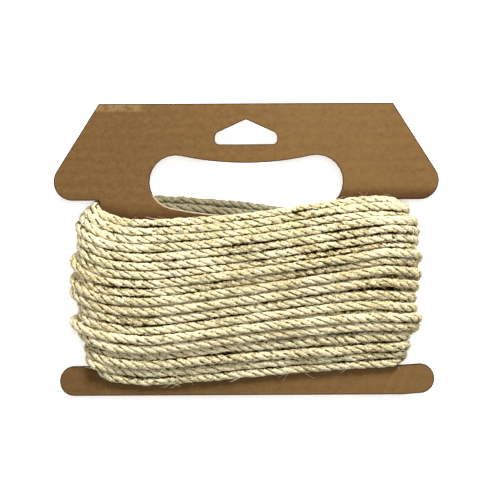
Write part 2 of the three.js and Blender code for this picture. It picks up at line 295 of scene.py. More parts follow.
class RopeSettings(bpy.types.PropertyGroup):
    """Sizes and colours of the rope"""

    diameter: bpy.props.FloatProperty(
        name="Diameter", description="Thickness of the rope", default=4.76 * MM, min=0.001, unit="LENGTH")
    lay: bpy.props.FloatProperty(
        name="Lay", description="Length in which a strand goes once around", default=17.7 * MM, unit="LENGTH")
    groove_depth: bpy.props.FloatProperty(
        name="Groove depth", description="Depth of the groove between two strands", default=0.68 * MM,
        unit="LENGTH")
    groove_width: bpy.props.FloatProperty(
        name="Groove width", description="Half the width of the groove", default=0.56 * MM, unit="LENGTH")
    hairs: bpy.props.IntProperty(
        name="Hairs", description="Loose fibres that stand out of the rope", default=1500)
    flyaways: bpy.props.IntProperty(
        name="Lying fibres", description="Loose fibres that lie along the rope", default=2600)
    light_colour: bpy.props.FloatVectorProperty(
        name="Light fibre", description="Colour of the palest fibres", subtype="COLOR",
        default=(0.85, 0.765, 0.515))
    mid_colour: bpy.props.FloatVectorProperty(
        name="Fibre", description="Main colour of the fibres", subtype="COLOR", default=(0.42, 0.34, 0.15))
    green_colour: bpy.props.FloatVectorProperty(
        name="Green fibre", description="Colour of the greener patches", subtype="COLOR",
        default=(0.62, 0.58, 0.31))
    # Painted shade in the grooves between the strands
    groove_shade_tint: bpy.props.FloatVectorProperty(
        name="Groove", description="Tint between the strands", subtype="COLOR", default=(0.07, 0.042, 0.006))
    # Painted shade where two turns press on each other
    gap_shade_tint: bpy.props.FloatVectorProperty(
        name="Gap", description="Tint where two turns press on each other", subtype="COLOR",
        default=(0.02, 0.0095, 0.0003))
    # Painted shade on the turns that lie behind the card
    shaded_colour: bpy.props.FloatVectorProperty(
        name="Shaded rope", description="Colour of the turns behind, which lie in the shade", subtype="COLOR",
        default=(0.10, 0.09, 0.05))
    loose_colour: bpy.props.FloatVectorProperty(
        name="Loose fibre", description="Main colour of the loose fibres", subtype="COLOR",
        default=(0.66, 0.58, 0.36))
    pale_loose_colour: bpy.props.FloatVectorProperty(
        name="Pale loose fibre", description="Colour of the palest loose fibres", subtype="COLOR",
        default=(0.95, 0.90, 0.70))


class BoardSettings(bpy.types.PropertyGroup):
    """Sizes and colours of the corrugated board"""

    liner: bpy.props.FloatProperty(
        name="Liner", description="Thickness of each outer sheet", default=0.32 * MM, unit="LENGTH")
    medium: bpy.props.FloatProperty(
        name="Fluting paper", description="Thickness of the wavy sheet", default=0.22 * MM, unit="LENGTH")
    flute: bpy.props.FloatProperty(
        name="Flute", description="Distance from one wave to the next", default=6.35 * MM, unit="LENGTH")
    rim_width: bpy.props.FloatProperty(
        name="Rim width", description="Width of the pressed rim along every edge", default=0.75 * MM,
        unit="LENGTH")
    rim_drop: bpy.props.FloatProperty(
        name="Rim drop", description="How far the rim is pressed down", default=0.14 * MM, unit="LENGTH")
    kraft_colour: bpy.props.FloatVectorProperty(
        name="Kraft", description="Main colour of the board", subtype="COLOR", default=(0.122, 0.063, 0.0189))
    pale_colour: bpy.props.FloatVectorProperty(
        name="Pale kraft", description="Colour of the lighter fibres", subtype="COLOR",
        default=(0.176, 0.096, 0.0315))
    worn_colour: bpy.props.FloatVectorProperty(
        name="Wear", description="Colour of scuffed and creased paper", subtype="COLOR",
        default=(0.33, 0.205, 0.085))
    # Painted shade on the board beside the first turn
    shade_tint: bpy.props.FloatVectorProperty(
        name="Shade", description="Tint of the board where the rope lies against it", subtype="COLOR",
        default=(0.10, 0.06, 0.03))
    # Painted shade on the pressed rims
    painted_rim_colour: bpy.props.FloatVectorProperty(
        name="Pressed rim", description="Colour where the die pressed the edge down", subtype="COLOR",
        default=(0.045, 0.024, 0.011))
    edge_colour: bpy.props.FloatVectorProperty(
        name="Cut edge", description="Colour of the cut edges", subtype="COLOR", default=(0.13, 0.070, 0.026))
    # Painted highlight on the cut along the lower edge of the hand hole
    lit_cut_colour: bpy.props.FloatVectorProperty(
        name="Pale cut", description="Colour of the paler cut in the hand hole", subtype="COLOR",
        default=(0.50, 0.40, 0.27))


class StageSettings(bpy.types.PropertyGroup):
    """Floor, lights and camera"""

    floor_colour: bpy.props.FloatVectorProperty(
        name="Floor", description="Colour of the floor", subtype="COLOR", default=(0.9, 0.9, 0.9))
    floor_size: bpy.props.FloatProperty(
        name="Floor size", description="Side of the floor", default=6.0, unit="LENGTH")
    floor_glow: bpy.props.FloatProperty(
        name="Floor glow", description="Light that the floor gives off by itself", default=0.6)
    key_power: bpy.props.FloatProperty(
        name="Key light", description="Power of the large light in front", default=7.9, unit="POWER")
    top_power: bpy.props.FloatProperty(
        name="Top light", description="Power of the nearer light past the top edge", default=7.9,
        unit="POWER")
    sky_strength: bpy.props.FloatProperty(
        name="Sky", description="Strength of the even light from all around", default=0.22)
    distance: bpy.props.FloatProperty(
        name="Distance", description="From the camera to the card", default=1.2, unit="LENGTH")
    lean: bpy.props.FloatProperty(
        name="Lean", description="Angle of the camera away from straight down", default=math.radians(4.0),
        unit="ROTATION")
    roll: bpy.props.FloatProperty(
        name="Roll", description="Turn of the camera about its own line of sight",
        default=math.radians(-0.27), unit="ROTATION")
    view_width: bpy.props.FloatProperty(
        name="View width", description="Width of the card's plane that the picture takes in", default=0.275,
        unit="LENGTH")


# Node helpers


def new_material(name):
    """An empty material with a shader that leads to its output"""
    material = bpy.data.materials.new(name)
    material.use_nodes = True
    tree = material.node_tree
    tree.nodes.clear()
    output = tree.nodes.new("ShaderNodeOutputMaterial")
    shader = tree.nodes.new("ShaderNodeBsdfPrincipled")
    tree.links.new(shader.outputs["BSDF"], output.inputs["Surface"])
    return material, tree, shader


def add_node(tree, kind, inputs=None, **settings):
    """A node with its settings. Each input is a value, or the output that it is linked to."""
    node = tree.nodes.new("ShaderNode" + kind)
    for name, value in settings.items():
        setattr(node, name, value)
    for name, value in (inputs or {}).items():
        if isinstance(value, bpy.types.NodeSocket):
            tree.links.new(value, node.inputs[name])
        else:
            node.inputs[name].default_value = value
    return node


def calculate(tree, operation, first, second=0.0, third=0.0):
    """One step of arithmetic on values or outputs"""
    node = add_node(tree, "Math", {0: first, 1: second, 2: third}, operation=operation)
    return node.outputs[0]


def weighted_sum(tree, *terms):
    """The sum of several outputs, each multiplied by its weight"""
    total = 0.0
    for value, weight in terms:
        total = calculate(tree, "MULTIPLY_ADD", value, weight, total)
    return total


def noise(tree, vector, scale, stretch=(1, 1, 1), detail=3.0, roughness=0.5):
    """Noise over a vector that is first scaled along each axis"""
    mapping = add_node(tree, "Mapping", {"Vector": vector, "Scale": stretch})
    node = add_node(tree, "TexNoise", {
        "Vector": mapping.outputs[0],
        "Scale": scale,
        "Detail": detail,
        "Roughness": roughness,
    })
    return node.outputs["Fac"]


def spread(tree, value, low, high, to_low=0.0, to_high=1.0, interpolation="SMOOTHSTEP"):
    """The value's range from low to high, laid over another range"""
    node = add_node(tree, "MapRange", {
        "Value": value,
        "From Min": low,
        "From Max": high,
        "To Min": to_low,
        "To Max": to_high,
    }, interpolation_type=interpolation)
    return node.outputs["Result"]


def band(tree, value, low, high, softness):
    """1 between two values and 0 outside, with soft ends"""
    rise = spread(tree, value, low - softness, low + softness)
    fall = spread(tree, value, high - softness, high + softness, 1.0, 0.0)
    return calculate(tree, "MULTIPLY", rise, fall)


def patch(tree, x, y, area):
    """1 in an area of the board and 0 outside, with soft edges"""
    return calculate(tree, "MULTIPLY", band(tree, x, *area["x"]), band(tree, y, *area["y"]))


def mix_colours(tree, share, first, second, blend_type="MIX"):
    """Two colours mixed. Each is a colour or an output, and share goes from the first to the second."""
    node = add_node(tree, "Mix", data_type="RGBA", blend_type=blend_type)
    for socket, value in ((node.inputs[0], share), (node.inputs[6], first), (node.inputs[7], second)):
        if isinstance(value, bpy.types.NodeSocket):
            tree.links.new(value, socket)
        elif isinstance(value, (int, float)):
            socket.default_value = value
        else:
            socket.default_value = (*value, 1.0)
    return node.outputs[2]


def tint(tree, colour, share, darkest):
    """Painted shade: a colour that goes over a warm half tone to the darkest tint as the share falls to 0"""
    node = add_node(tree, "ValToRGB", {0: share})
    ramp = node.color_ramp
    half = tuple(value**HALF_TONE for value in darkest)
    ramp.elements[0].color = (*darkest, 1)
    ramp.elements[1].color = (1, 1, 1, 1)
    ramp.elements.new(HALF_TONE_AT).color = (*half, 1)
    return mix_colours(tree, 1.0, colour, node.outputs[0], "MULTIPLY")


def add_bump(tree, shader, height, strength, distance):
    """Relief from a height, at most as deep as the distance"""
    bump = add_node(tree, "Bump", {"Height": height, "Strength": strength, "Distance": distance})
    tree.links.new(bump.outputs[0], shader.inputs["Normal"])


# Materials


def sisal_material():
    """Pale plant fibre: streaks along the rope, painted shade in broken grooves and in gaps between turns"""
    settings = bpy.context.scene.rope_settings
    material, tree, shader = new_material("sisal")
    place = add_node(tree, "Attribute", attribute_name="rope_place").outputs["Vector"]
    # Masks of the painted shade: crest of the strands, room beside other turns, and daylight
    shade_masks = add_node(tree, "Attribute", attribute_name="rope_painted_shade").outputs["Vector"]
    crest, air, daylight = add_node(tree, "SeparateXYZ", {0: shade_masks}).outputs
    streaks, tufts, breaks = (noise(tree, place, **pattern) for pattern in (STREAKS, TUFTS, BREAKS))
    colour = fibre_colour(tree, settings, place, streaks, tufts)
    height = calculate(tree, "ADD", crest, spread(tree, breaks, *CREST_BREAKS_RANGE))
    # Painted shade in the grooves, broken by noise
    colour = tint(tree, colour, spread(tree, height, *GROOVE_RANGE), tuple(settings.groove_shade_tint))
    # Painted shade in the gaps between turns
    colour = tint(tree, colour, out_of_gap(tree, air, breaks), tuple(settings.gap_shade_tint))
    # Painted shade on the passes behind the card
    colour = mix_colours(tree, daylight, tuple(settings.shaded_colour), colour)
    tree.links.new(colour, shader.inputs["Base Color"])
    shader.inputs["Roughness"].default_value = 0.7
    shader.inputs["Specular IOR Level"].default_value = 0.02
    relief = weighted_sum(tree, (streaks, 1.0), (tufts, 0.5))
    add_bump(tree, shader, relief, strength=0.9, distance=0.2 * MM)
    return material


def fibre_colour(tree, settings, place, streaks, tufts):
    """Streaks and tufts from tan to pale, with greener patches"""
    patches = noise(tree, add_node(tree, "TexCoord").outputs["Object"], **PALE_PATCHES)
    patches = spread(tree, patches, *PALE_RANGE)
    tone = weighted_sum(tree, (streaks, STREAK_SHARE), (tufts, TUFT_SHARE), (patches, 1.0))
    share = spread(tree, tone, *FIBRE_RANGE)
    fibre = mix_colours(tree, share, tuple(settings.mid_colour), tuple(settings.light_colour))
    green = spread(tree, noise(tree, place, **GREEN_PATCHES), *GREEN_RANGE)
    return mix_colours(tree, green, fibre, tuple(settings.green_colour))


def out_of_gap(tree, air, breaks):
    """Painted shade: 0 deep between two turns and 1 in the open. Some gaps are pressed shut, and fibres
    bridge others.
    """
    pressed = noise(tree, add_node(tree, "TexCoord").outputs["Object"], **PRESSED_GAPS)
    pressed = spread(tree, pressed, *PRESSED_GAPS_RANGE)
    bridged = spread(tree, breaks, *GAP_BREAKS_RANGE)
    share = weighted_sum(tree, (pressed, 1.0), (bridged, 1.0), (air, GAP_STEEPNESS))
    return calculate(tree, "ADD", share, GAP_SHIFT)


def loose_fibre_material():
    """Single fibres that have come loose: paler than the rope"""
    settings = bpy.context.scene.rope_settings
    material, tree, shader = new_material("sisal_fibre")
    tone = noise(tree, add_node(tree, "TexCoord").outputs["Object"], **LOOSE_FIBRE_TONES)
    colour = mix_colours(tree, tone, tuple(settings.loose_colour), tuple(settings.pale_loose_colour))
    tree.links.new(colour, shader.inputs["Base Color"])
    shader.inputs["Roughness"].default_value = 0.5
    shader.inputs["Specular IOR Level"].default_value = 0.5
    return material


def kraft_material(name, is_fluting=False, is_front=False):
    """Brown board: mottled pulp, faint flute stripes, pressed rims, wear, and painted light and shade"""
    settings = bpy.context.scene.board_settings
    material, tree, shader = new_material(name)
    place = add_node(tree, "TexCoord").outputs["Object"]
    split = add_node(tree, "SeparateXYZ", {0: place})
    x, y = (calculate(tree, "DIVIDE", split.outputs[axis], MM) for axis in ("X", "Y"))
    grain, mottle, clouds = (noise(tree, place, **pattern) for pattern in (GRAIN, MOTTLE, CLOUDS))
    wave = calculate(tree, "SINE", calculate(tree, "MULTIPLY", y, math.tau * MM / settings.flute))
    tone = weighted_sum(
        tree,
        (grain, GRAIN_SHARE),
        (mottle, MOTTLE_SHARE),
        (clouds, CLOUD_SHARE),
        (wave, FLUTE_SHARE),
        # Painted light, lighter towards the right
        (spread(tree, x, *PAINTED_LIGHT_TO_RIGHT), 1.0),
    )
    share = spread(tree, tone, *KRAFT_RANGE)
    colour = mix_colours(tree, share, tuple(settings.kraft_colour), tuple(settings.pale_colour))
    if is_front:
        colour = worn(tree, settings, colour, place, x, y, mottle)
        colour = shaded_by_rope(tree, settings, colour, x, y)
    if is_fluting:
        colour = mix_colours(tree, FLUTING_SHARE, tuple(settings.edge_colour), colour)
    else:
        colour = with_rims(tree, settings, colour, patch(tree, x, y, LIT_CUT))
    tree.links.new(colour, shader.inputs["Base Color"])
    shader.inputs["Roughness"].default_value = 0.88
    shader.inputs["Specular IOR Level"].default_value = 0.2
    relief = weighted_sum(tree, (grain, 0.5), (wave, 0.3))
    add_bump(tree, shader, relief, strength=0.5, distance=0.12 * MM)
    return material


def worn(tree, settings, colour, place, x, y, mottle):
    """A scuffed strip at the top left and creases across the bar"""
    worn_colour = tuple(settings.worn_colour)
    scuffs = calculate(tree, "MULTIPLY", patch(tree, x, y, WORN_STRIP), spread(tree, mottle, *SCUFF_RANGE))
    colour = mix_colours(tree, scuffs, colour, worn_colour)
    wobbly = calculate(tree, "ADD", x, spread(tree, noise(tree, place, **WOBBLE), *WOBBLE_RANGE))
    for at_middle, lean, half_width, strength in CREASES:
        along = calculate(tree, "MULTIPLY_ADD", y, -lean, wobbly)
        middle = at_middle - lean * BAR_MIDDLE_Y
        crease = band(tree, along, middle - half_width, middle + half_width, CREASE_SOFTNESS)
        crease = calculate(tree, "MULTIPLY", crease, spread(tree, y, *CREASES_FADE_Y, strength, 0.0))
        colour = mix_colours(tree, crease, colour, worn_colour)
    return colour


def with_rims(tree, settings, colour, is_lit_cut):
    """Pressed rims along the edges of the face, darkened by painted shade, and the colour of the cut on its
    sides
    """
    # Painted highlight on the rim and sides of the cut in the hand hole
    painted_rim_colour = mix_colours(tree, is_lit_cut, tuple(settings.painted_rim_colour), tuple(settings.lit_cut_colour))
    side_colour = mix_colours(tree, is_lit_cut, tuple(settings.edge_colour), tuple(settings.lit_cut_colour))
    rim = add_node(tree, "Attribute", attribute_name="rim").outputs["Fac"]
    # Painted shade on the rims
    colour = mix_colours(tree, spread(tree, rim, *RIM_RANGE), colour, painted_rim_colour)
    normal = add_node(tree, "NewGeometry").outputs["Normal"]
    level = calculate(tree, "ABSOLUTE", add_node(tree, "SeparateXYZ", {0: normal}).outputs["Z"])
    return mix_colours(tree, spread(tree, level, *CUT_RANGE), side_colour, colour)


def shaded_by_rope(tree, settings, colour, x, y):
    """Painted shade: the face of the board darkens towards the first turn"""
    radius = bpy.context.scene.rope_settings.diameter / 2 / MM
    above = calculate(tree, "SUBTRACT", y, row_height(tree, x, 0, radius))
    wide, near, beyond = (spread(tree, above, *shade) for shade in (WIDE_SHADE, NEAR_SHADE, BEYOND_ROPE))
    share = calculate(tree, "ADD", calculate(tree, "MINIMUM", wide, near), beyond)
    return tint(tree, colour, share, tuple(settings.shade_tint))


def row_height(tree, x, row, reach):
    """Height of a row's edge at x, in millimetres. Reach goes from the row's middle to its edge."""
    heights = turn_values(row)[:STATIONS] + reach
    low, high = float(heights.min()) - 1, float(heights.max()) + 1
    left, right = float(STATION_X[0]), float(STATION_X[-1])
    share = spread(tree, x, left, right, interpolation="LINEAR")
    node = add_node(tree, "FloatCurve", {"Value": share})
    points = node.mapping.curves[0].points
    across, up = (STATION_X - left) / (right - left), (heights - low) / (high - low)
    points[0].location = (across[0], up[0])
    points[1].location = (across[-1], up[-1])
    for place in zip(across[1:-1], up[1:-1], strict=True):
        points.new(*place)
    node.mapping.update()
    return spread(tree, node.outputs[0], 0.0, 1.0, low, high, "LINEAR")


# Mesh helpers


def deselect_all():
    if bpy.context.object and bpy.context.object.mode != "OBJECT":
        bpy.ops.object.mode_set(mode="OBJECT")
    bpy.ops.object.select_all(action="DESELECT")


def activate(piece):
    deselect_all()
    bpy.context.view_layer.objects.active = piece
    piece.select_set(True)


def add_piece(name, mesh):
    piece = bpy.data.objects.new(name, mesh)
    mesh.name = name
    bpy.context.scene.collection.objects.link(piece)
    return piece


def apply_modifier(piece, kind, **settings):
    modifier = piece.modifiers.new(kind.title(), kind)
    for name, value in settings.items():
        setattr(modifier, name, value)
    activate(piece)
    bpy.ops.object.modifier_apply(modifier=modifier.name)


def card_prism(name):
    """A closed copy of the card's solid, as a new piece"""
    piece = add_piece(name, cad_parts["card"].data.copy())
    activate(piece)
    bpy.ops.object.mode_set(mode="EDIT")
    bpy.ops.mesh.select_all(action="SELECT")
    bpy.ops.mesh.remove_doubles(threshold=CLOSE)
    bpy.ops.object.mode_set(mode="OBJECT")
    piece.data.materials.clear()
    return piece


def finish_piece(piece, material, slot, *replaced):
    piece.data.materials.clear()
    piece.data.materials.append(material)
    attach(piece, BODY)
    if replaced:
        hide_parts(*replaced)


def tube_quads(rings, count):
    """Faces between the rings of a tube, with count points to a ring"""
    ring = np.arange(rings - 1)[:, None] * count
    here = np.arange(count)[None]
    following = (here + 1) % count
    quads = np.stack([ring + here, ring + following, ring + count + following, ring + count + here], -1)
    return quads.reshape(-1, 4)


def store(mesh, label, *values):
    """Keeps three values at every point of a mesh, for its material"""
    stored = mesh.attributes.new(label, "FLOAT_VECTOR", "POINT")
    stored.data.foreach_set("vector", np.stack(values, -1).astype(np.float32).ravel())


# The winding


def smooth_step(share):
    share = np.clip(share, 0, 1)
    return share * share * (3 - 2 * share)


def turn_values(row):
    """The table's columns at a row number, which may lie between two rows or a little past the ends"""
    row = np.asarray(row, float)
    lower = np.clip(np.floor(row).astype(int), 0, LAST_ROW - 1)
    share = (row - lower)[..., None]
    return TURNS[lower] * (1 - share) + TURNS[lower + 1] * share


def height_on_loop(row, way):
    """Height at this way of a closed turn, which runs behind the card as it does in front"""
    row, way = np.broadcast_arrays(row, way)
    values = turn_values(row)
    bulge = np.where(STATION_X < 0, values[..., LEFT_BULGE, None], values[..., RIGHT_BULGE, None])
    past = np.clip(np.abs(STATION_X) - NECK, 0, None)
    around = NECK + EDGE_WAY * np.arcsin(np.minimum(1, past / bulge)) / np.pi
    knot = np.where(past > 0, np.sign(STATION_X) * around, STATION_X)
    knots = np.concatenate([knot + lap * LOOP_WAY / 2 for lap in (-1, 0, 1, 2)], -1)
    heights = np.concatenate([values[..., :STATIONS]] * 4, -1)
    reached = (way + LOOP_WAY / 2) % LOOP_WAY - LOOP_WAY / 2
    index = np.clip((knots <= reached[..., None]).sum(-1) - 1, 1, knots.shape[-1] - 3)
    w, y = ([np.take_along_axis(a, (index + step)[..., None], -1)[..., 0] for step in (-1, 0, 1, 2)]
            for a in (knots, heights))
    span = w[2] - w[1]
    share = (reached - w[1]) / span
    rise = y[2] - y[1]
    start_slope = (y[2] - y[0]) / (w[2] - w[0]) * span
    end_slope = (y[3] - y[1]) / (w[3] - w[1]) * span
    bend = 3 * rise - 2 * start_slope - end_slope
    twist = start_slope + end_slope - 2 * rise
    return y[1] + share * (start_slope + share * (bend + share * twist))


def loop_places():
    """Where the samples of a turn lie: way, x on the face, the shares that point out and up, and side"""
    way = -(NECK + EDGE_WAY / 2) + LOOP_WAY * np.arange(SAMPLES) / SAMPLES
    around_right = (way - NECK) / EDGE_WAY
    around_left = (way + NECK + EDGE_WAY) % LOOP_WAY / EDGE_WAY
    turned = np.where(around_left < 1, 1 - around_left, np.clip(around_right, 0, 1))
    folded = np.where(way < NECK + EDGE_WAY / 2, way, 2 * NECK + EDGE_WAY - way)
    x = np.clip(folded, -NECK, NECK)
    return {
        "way": way,
        "x": x,
        "out": np.sin(np.pi * turned),
        "up": np.cos(np.pi * turned),
        "side": np.sign(x),
        "folded": folded,
    }


def winding_rows(way):
    """The row number of every turn at every way, and the layer of each turn"""
    starts, ends, layers = [], [], []
    for number, layer in enumerate(LAYERS):
        for turn in range(layer["turns"]):
            row = layer["first"] + turn * layer["step"]
            is_last = turn == layer["turns"] - 1
            starts.append(row)
            ends.append(layer["leads_to"] if is_last else row + layer["step"])
            layers.append(number)
    starts, ends = np.array(starts)[:, None], np.array(ends)[:, None]
    across_back = np.clip((way - NECK - EDGE_WAY) / (2 * NECK), 0, 1)
    return starts + (ends - starts) * across_back, np.array(layers)


def outer_depths(rows, places, radius):
    """Distance of the outer layer's middle line from the seat on the card, as on the solid"""
    values = turn_values(rows)
    left, right = values[..., LEFT_BULGE], values[..., RIGHT_BULGE]
    mean = (left + right) / 2
    from_middle = np.minimum(1, np.abs(2 * rows / LAST_ROW - 1))
    back = BACK_BULGE + (mean - BACK_BULGE) * from_middle**BACK_POWER
    bulge = np.where(places["up"] > 0, mean, back)
    depth = 2 * radius + FACE_SHARE * (bulge - 2 * radius)
    crowned = depth * (1 - CROWN * (places["x"] / NECK) ** 2)
    edge = np.where(places["side"] < 0, left, right)
    out = places["out"] ** 2
    return np.maximum((crowned - radius) * (1 - out) + (edge - radius) * out, radius)


def wander(random, shape, size, length):
    """A slow random walk along the rope"""
    at = np.arange(shape[0] * shape[1]) * (LOOP_WAY / SAMPLES) / length
    knots = random.normal(scale=size, size=int(at[-1]) + 2)
    lower = at.astype(int)
    share = smooth_step(at - lower)
    return (knots[lower] * (1 - share) + knots[lower + 1] * share).reshape(shape)


def wanted_winding(random, radius):
    """Where each turn would lie if nothing were in its way, and how firmly it keeps to that"""
    places = loop_places()
    way = places["way"]
    rows, layers = winding_rows(way)
    height = height_on_loop(rows, way)
    depth = outer_depths(rows, places, radius)
    is_outer = layers == OUTER
    first_outer = int(np.argmax(is_outer))
    parted = smooth_step((way - NECK - PARTING_SHARE * EDGE_WAY) / PARTING_LENGTH)
    not_joined = smooth_step((3 * NECK + JOINING_SHARE * EDGE_WAY - way) / JOINING_LENGTH)
    high = np.interp(places["folded"], HIGH_PASS_X, HIGH_PASS_Y)
    share = parted * not_joined
    near_pass, far_pass = first_outer - 1, first_outer
    for turn, drop in ((near_pass, PASS_DROP), (far_pass, 0)):
        height[turn] += (high - drop - height[turn]) * share
    lift = np.where(places["side"] < 0, *EDGE_LIFT) * places["out"] ** 2
    height += lift * np.clip(rows / LIFTED_ROW, 0, 1)
    size = np.where(is_outer, OUTER_WANDER, INNER_WANDER)[:, None]
    height = height + wander(random, height.shape, 1.0, WANDER_LENGTH) * size
    hold, depth_hold = (np.broadcast_to(np.where(is_outer, outer, INNER_HOLD)[:, None], height.shape).copy()
                        for outer in (OUTER_HOLD, OUTER_DEPTH_HOLD))
    for layer in range(OUTER):
        inner = radius + layer * LAYER_RISE * 2 * radius
        depth[layers == layer] = np.minimum(inner, depth[layers == layer])
    for turn, rise in ((near_pass, 0), (far_pass, PASS_RISE)):
        depth[turn] += (radius + rise - depth[turn]) * share
        hold[turn] = np.maximum(hold[turn], OUTER_HOLD * share)
        depth_hold[turn] = np.maximum(depth_hold[turn], OUTER_HOLD * share)
    return places, height, depth, hold, depth_hold, is_outer


def stiffen(values):
    """The rope resists bends: each sample moves a little towards a smooth run through its neighbours"""
    line = values.reshape(-1)
    bend = np.zeros_like(line)
    bend[1:-1] = line[:-2] - 2 * line[1:-1] + line[2:]
    change = np.zeros_like(line)
    change[1:-1] = bend[:-2] - 2 * bend[1:-1] + bend[2:]
    line -= STIFFNESS * change


def push_apart(height, depth, thickness, shares, are_there):
    """Turns that overlap in the plane across them move apart"""
    slope = np.gradient(height.reshape(-1), LOOP_WAY / SAMPLES).reshape(height.shape)
    mean_slope = (slope[:, None] + slope[None]) / 2
    level = 1 / np.sqrt(1 + mean_slope**2)
    along = (height[:, None] - height[None]) * level
    across = depth[:, None] - depth[None]
    distance = np.sqrt(along**2 + across**2) + LEAST_DISTANCE
    overlap = np.clip(thickness - distance, 0, None) * are_there * shares / distance
    height += (overlap * along / level).sum(1)
    depth += (overlap * across).sum(1)


@functools.cache
def settled_winding(diameter):
    """The rope after its turns have settled on each other, all in millimetres

    Gives its middle line, the direction away from the card at each point of it, the number of the point where
    the outer layer starts, and the height, depth and fullness of every turn at every sample.
    """
    radius = diameter / 2
    random = np.random.default_rng(WINDING_SEED)
    places, wanted_height, wanted_depth, hold, depth_hold, is_outer = wanted_winding(random, radius)
    height, depth = wanted_height.copy(), wanted_depth.copy()
    seat = BOARD / 2 + ROPE_TO_BOARD
    up, out, side = places["up"], places["out"], places["side"]
    floor_depth = (CARD_MIDDLE_Z - radius - FLOOR_ROOM) / np.maximum(-up, LEAST_DOWN) - seat
    deepest = np.where(up < 0, floor_depth, FAR_AWAY)
    lightness = 1 / np.where(is_outer, OUTER_WEIGHT, 1.0)
    shares = (CONTACT_SHARE * lightness[:, None] / (lightness[:, None] + lightness[None]))[:, :, None]
    is_there = np.ones(height.shape, bool)
    is_there[-1] = places["way"] < NECK + EDGE_WAY + TAIL_ON_BACK
    are_there = is_there[:, None] & is_there[None]
    are_there[np.arange(len(height)), np.arange(len(height))] = False
    for number in range(SETTLING_ROUNDS):
        if number < SETTLING_ROUNDS - LAST_ROUNDS:
            height += hold * (wanted_height - height)
            depth += depth_hold * (wanted_depth - depth)
        stiffen(height)
        stiffen(depth)
        for _ in range(CONTACTS_A_ROUND):
            push_apart(height, depth, diameter, shares, are_there)
            np.clip(depth, radius, deepest, out=depth)
            is_beside = (out > 0) & (np.abs(up) * (seat + depth) < BOARD / 2 + radius)
            fitted = np.clip(height, BAR_TOP_Y + radius, WING_UNDERSIDE_Y - radius)
            height[:] = np.where(is_beside, fitted, height)
    x = places["x"] + side * out * depth
    z = CARD_MIDDLE_Z + up * (seat + depth)
    outward = np.stack(np.broadcast_arrays(side * out, 0, up), -1)
    return {
        "middle": np.stack([x, height, z], -1)[is_there],
        "outward": np.broadcast_to(outward, height.shape + (3,))[is_there],
        "first_outer": int(np.argmax(is_outer)) * SAMPLES,
        "height": height,
        "depth": depth,
        "fullness": fullness(height, depth, is_outer, diameter),
    }


def fullness(height, depth, is_outer, diameter):
    """How many times its least thickness each outer turn has, so that it fills the room beside it"""
    room = np.full(height.shape, float(diameter))
    outer = np.flatnonzero(is_outer)
    for turn in outer:
        apart, deeper = height[outer] - height[turn], depth[outer] - depth[turn]
        beside = np.where(np.abs(deeper) < diameter, np.hypot(apart, deeper), diameter)
        sides = []
        for is_on_side in (apart > 0, apart < 0):
            nearest = np.where(is_on_side, beside, FAR_AWAY).min(0)
            nearest = np.where(nearest == FAR_AWAY, diameter, nearest)
            sides.append(np.clip(nearest, diameter, FULLEST * diameter))
        room[turn] = sum(sides) / 2
    for _ in range(FULLNESS_ROUNDS):
        room = (np.roll(room, 1, axis=1) + 2 * room + np.roll(room, -1, axis=1)) / 4
    return room / diameter


def even_line(points, outward, step):
    """A smooth curve through the points, cut into even steps

    Gives at every step the place, the direction outward, the length so far, and its place among the points.
    """
    padded = np.concatenate([2 * points[:1] - points[1:2], points, 2 * points[-1:] - points[-2:-1]])
    p0, p1, p2, p3 = padded[:-3], padded[1:-2], padded[2:-1], padded[3:]
    quarters = (0.0, 0.25, 0.5, 0.75)
    dense, turned = [], []
    for t in quarters:
        dense.append((2 * p1 + (p2 - p0) * t + (2 * p0 - 5 * p1 + 4 * p2 - p3) * t**2
                      + (3 * p1 - p0 - 3 * p2 + p3) * t**3) / 2)
        turned.append(outward[:-1] * (1 - t) + outward[1:] * t)
    dense = np.concatenate([np.stack(dense, 1).reshape(-1, 3), points[-1:]])
    turned = np.concatenate([np.stack(turned, 1).reshape(-1, 3), outward[-1:]])
    length = np.concatenate([[0], np.cumsum(np.linalg.norm(np.diff(dense, axis=0), axis=1))])
    at = np.linspace(0, length[-1], int(length[-1] / step) + 2)
    return {
        "place": np.stack([np.interp(at, length, dense[:, axis]) for axis in range(3)], -1),
        "outward": np.stack([np.interp(at, length, turned[:, axis]) for axis in range(3)], -1),
        "length": at,
        "sample": np.interp(at, length, np.arange(len(dense)) / len(quarters)),
    }


def stretch_of(line, which):
    """Some of the steps of a line"""
    return {name: values[which] for name, values in line.items()}


def across_line(line):
    """Two directions across the line at each step, the first of them outward, and its own direction"""
    forward = np.gradient(line["place"], axis=0)
    forward /= np.linalg.norm(forward, axis=1, keepdims=True)
    outward = line["outward"] - (line["outward"] * forward).sum(1, keepdims=True) * forward
    outward /= np.linalg.norm(outward, axis=1, keepdims=True)
    return outward, np.cross(forward, outward), forward


def along_line(line, values):
    """A value of every turn and sample, read at each step of the line"""
    return np.interp(line["sample"], np.arange(values.size), values.ravel())


# The rope


def rope_section(places, settings):
    """Angles, radii and crest heights of a ring around three strands. Crests go from 0 in a groove to 1."""
    radius = settings.diameter / 2
    sector = math.tau / STRANDS
    angles = np.array([sector * (strand - 0.5 + place) for strand in range(STRANDS) for place in places])
    own = np.abs((angles + sector / 2) % sector - sector / 2)
    from_groove = radius * (sector / 2 - own)
    crest = 1 - np.exp(-(from_groove / settings.groove_width) ** 2)
    crown = STRAND_CROWN * MM * (own / (sector / 2)) ** 2
    return angles, radius + PRESSED * MM - crown - settings.groove_depth * (1 - crest), crest


def uneven(random, at, knots, size):
    """A random value that changes slowly along the rope"""
    return np.interp(at, np.linspace(0, LONGEST_ROPE, knots), random.normal(scale=size, size=knots))


